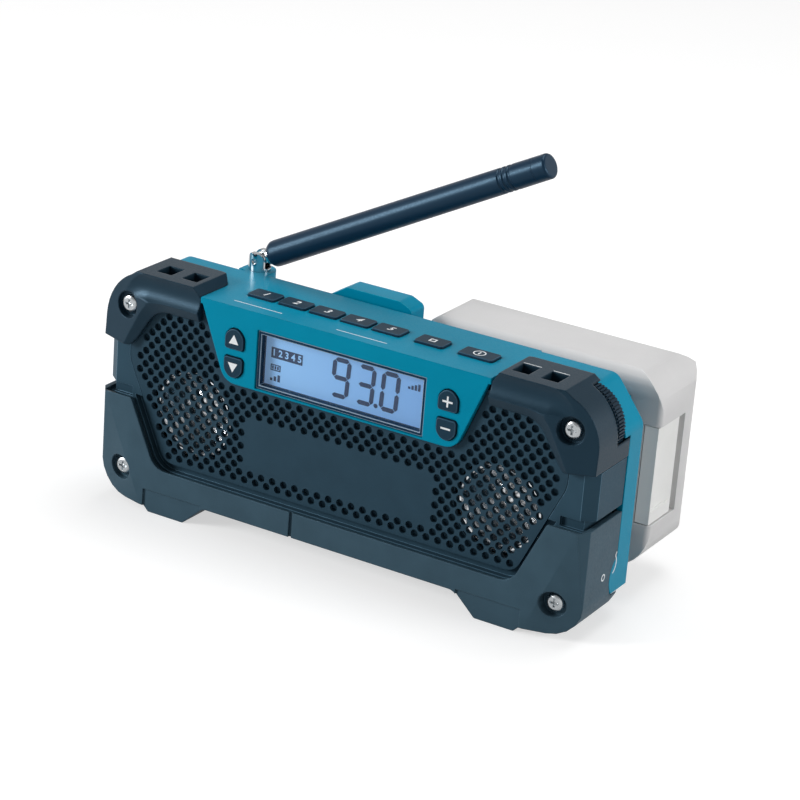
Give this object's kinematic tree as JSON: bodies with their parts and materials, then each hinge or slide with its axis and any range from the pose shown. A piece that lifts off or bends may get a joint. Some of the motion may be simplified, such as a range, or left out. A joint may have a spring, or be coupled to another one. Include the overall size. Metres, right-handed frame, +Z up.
{
  "type": "jobsite radio",
  "caption": "Portable jobsite radio: slate and teal body with end caps, perforated grille, display, keys, tuning wheel, tilting rod antenna and slide-on battery.",
  "frame": {"origin": "centre of the part's bounding box, at the ground plane under the feet", "axes": "+X to the listener's right along the body, +Y from the grille towards the battery, +Z up"},
  "size_m": [0.182, 0.0804, 0.1406],
  "materials": {
    "teal_abs": "satin",
    "slate_plastic": "fine texture",
    "key_rubber": "satin",
    "bezel_plastic": "satin",
    "window": "clear",
    "lcd_glass": "satin",
    "backlight_diffuser": "satin",
    "switch_plastic": "satin",
    "circuit_board": "solder mask",
    "tinned_steel": "plated",
    "chip_resin": "matt",
    "cone_film": "metallised",
    "magnet": "dark",
    "wire_sleeve": "smooth",
    "ribbon": "smooth",
    "contact_brass": "plated",
    "chrome": "polished",
    "socket_steel": "turned",
    "spring_wire": "drawn",
    "antenna_rubber": "satin",
    "zinc_steel": "zinc plated",
    "socket_plastic": "matt",
    "battery_plastic": "satin",
    "latch_plastic": "satin",
    "cell_can": "shrink sleeve",
    "nickel_strap": "plated"
  },
  "bodies": {
    "radio": {"body_shell": "teal_abs", "front_housing": "slate_plastic", "front_grille": "slate_plastic", "left_cap": "slate_plastic", "right_cap": "slate_plastic", "lower_bumper": "slate_plastic", "dock_frame": "teal_abs", "dock_block": "teal_abs", "dock_terminals": "contact_brass", "lcd_bezel": "bezel_plastic", "lcd_lens": "window", "lcd_module": "lcd_glass", "lcd_backlight": "backlight_diffuser", "key_switches": "switch_plastic", "front_key_board": "circuit_board", "top_key_board": "circuit_board", "main_board": "circuit_board", "tuner_can": "tinned_steel", "board_chips": "chip_resin", "left_speaker_frame": "tinned_steel", "right_speaker_frame": "tinned_steel", "left_speaker_cone": "cone_film", "right_speaker_cone": "cone_film", "left_speaker_magnet": "magnet", "right_speaker_magnet": "magnet", "speaker_wires": "wire_sleeve", "ribbon_cable": "ribbon", "tuning_encoder": "tinned_steel", "antenna_socket": "socket_steel", "antenna_lead": "wire_sleeve", "front_screws": "zinc_steel", "rear_screws": "zinc_steel", "board_screws": "zinc_steel", "earphone_jack": "socket_plastic", "battery_leads": "wire_sleeve"},
    "up_key": {"up_key": "key_rubber"},
    "down_key": {"down_key": "key_rubber"},
    "plus_key": {"plus_key": "key_rubber"},
    "minus_key": {"minus_key": "key_rubber"},
    "preset_key_1": {"preset_key_1": "key_rubber"},
    "preset_key_2": {"preset_key_2": "key_rubber"},
    "preset_key_3": {"preset_key_3": "key_rubber"},
    "preset_key_4": {"preset_key_4": "key_rubber"},
    "preset_key_5": {"preset_key_5": "key_rubber"},
    "band_key": {"band_key": "key_rubber"},
    "power_key": {"power_key": "key_rubber"},
    "tuning_wheel": {"tuning_wheel": "slate_plastic", "encoder_shaft": "tinned_steel"},
    "antenna_yoke": {"antenna_knuckle": "chrome", "antenna_pin": "chrome"},
    "antenna": {"antenna_tongue": "chrome", "antenna_core": "spring_wire", "antenna_sleeve": "antenna_rubber", "antenna_tip": "antenna_rubber"},
    "battery": {"battery_case": "battery_plastic", "battery_head": "battery_plastic", "battery_cells": "cell_can", "battery_contacts": "nickel_strap", "latch_spring": "spring_wire"},
    "latch": {"latch_button": "latch_plastic"}
  },
  "joints": [
    {"name": "up_key_press", "type": "slide", "parent": "radio", "child": "up_key", "axis": [0, 1, 0], "range_m": [0, 0.0005], "stiffness_N_per_m": 800},
    {"name": "down_key_press", "type": "slide", "parent": "radio", "child": "down_key", "axis": [0, 1, 0], "range_m": [0, 0.0005], "stiffness_N_per_m": 800},
    {"name": "plus_key_press", "type": "slide", "parent": "radio", "child": "plus_key", "axis": [0, 1, 0], "range_m": [0, 0.0005], "stiffness_N_per_m": 800},
    {"name": "minus_key_press", "type": "slide", "parent": "radio", "child": "minus_key", "axis": [0, 1, 0], "range_m": [0, 0.0005], "stiffness_N_per_m": 800},
    {"name": "preset_key_1_press", "type": "slide", "parent": "radio", "child": "preset_key_1", "axis": [0, 0, -1], "range_m": [0, 0.0005], "stiffness_N_per_m": 800},
    {"name": "preset_key_2_press", "type": "slide", "parent": "radio", "child": "preset_key_2", "axis": [0, 0, -1], "range_m": [0, 0.0005], "stiffness_N_per_m": 800},
    {"name": "preset_key_3_press", "type": "slide", "parent": "radio", "child": "preset_key_3", "axis": [0, 0, -1], "range_m": [0, 0.0005], "stiffness_N_per_m": 800},
    {"name": "preset_key_4_press", "type": "slide", "parent": "radio", "child": "preset_key_4", "axis": [0, 0, -1], "range_m": [0, 0.0005], "stiffness_N_per_m": 800},
    {"name": "preset_key_5_press", "type": "slide", "parent": "radio", "child": "preset_key_5", "axis": [0, 0, -1], "range_m": [0, 0.0005], "stiffness_N_per_m": 800},
    {"name": "band_key_press", "type": "slide", "parent": "radio", "child": "band_key", "axis": [0, 0, -1], "range_m": [0, 0.0005], "stiffness_N_per_m": 800},
    {"name": "power_key_press", "type": "slide", "parent": "radio", "child": "power_key", "axis": [0, 0, -1], "range_m": [0, 0.0005], "stiffness_N_per_m": 800},
    {"name": "tuning_spin", "type": "hinge", "parent": "radio", "child": "tuning_wheel", "pos_m": [0.0778, -0.02015, 0.067], "axis": [0, 1, 0], "continuous": true},
    {"name": "antenna_swivel", "type": "hinge", "parent": "radio", "child": "antenna_yoke", "pos_m": [-0.055, -0.00215, 0.0792], "axis": [0, 0, 1], "continuous": true},
    {"name": "antenna_tilt", "type": "hinge", "parent": "antenna_yoke", "child": "antenna", "pos_m": [-0.055, -0.00215, 0.0828], "axis": [0, -1, 0], "range_deg": [-13.2, 62.2]},
    {"name": "battery_slide", "type": "slide", "parent": "radio", "child": "battery", "axis": [1, 0, 0], "range_m": [0, 0.09]},
    {"name": "latch_press", "type": "slide", "parent": "battery", "child": "latch", "axis": [0, 1, 0], "range_m": [0, 0.0024], "stiffness_N_per_m": 600, "deforming": ["latch_spring"]}
  ]
}
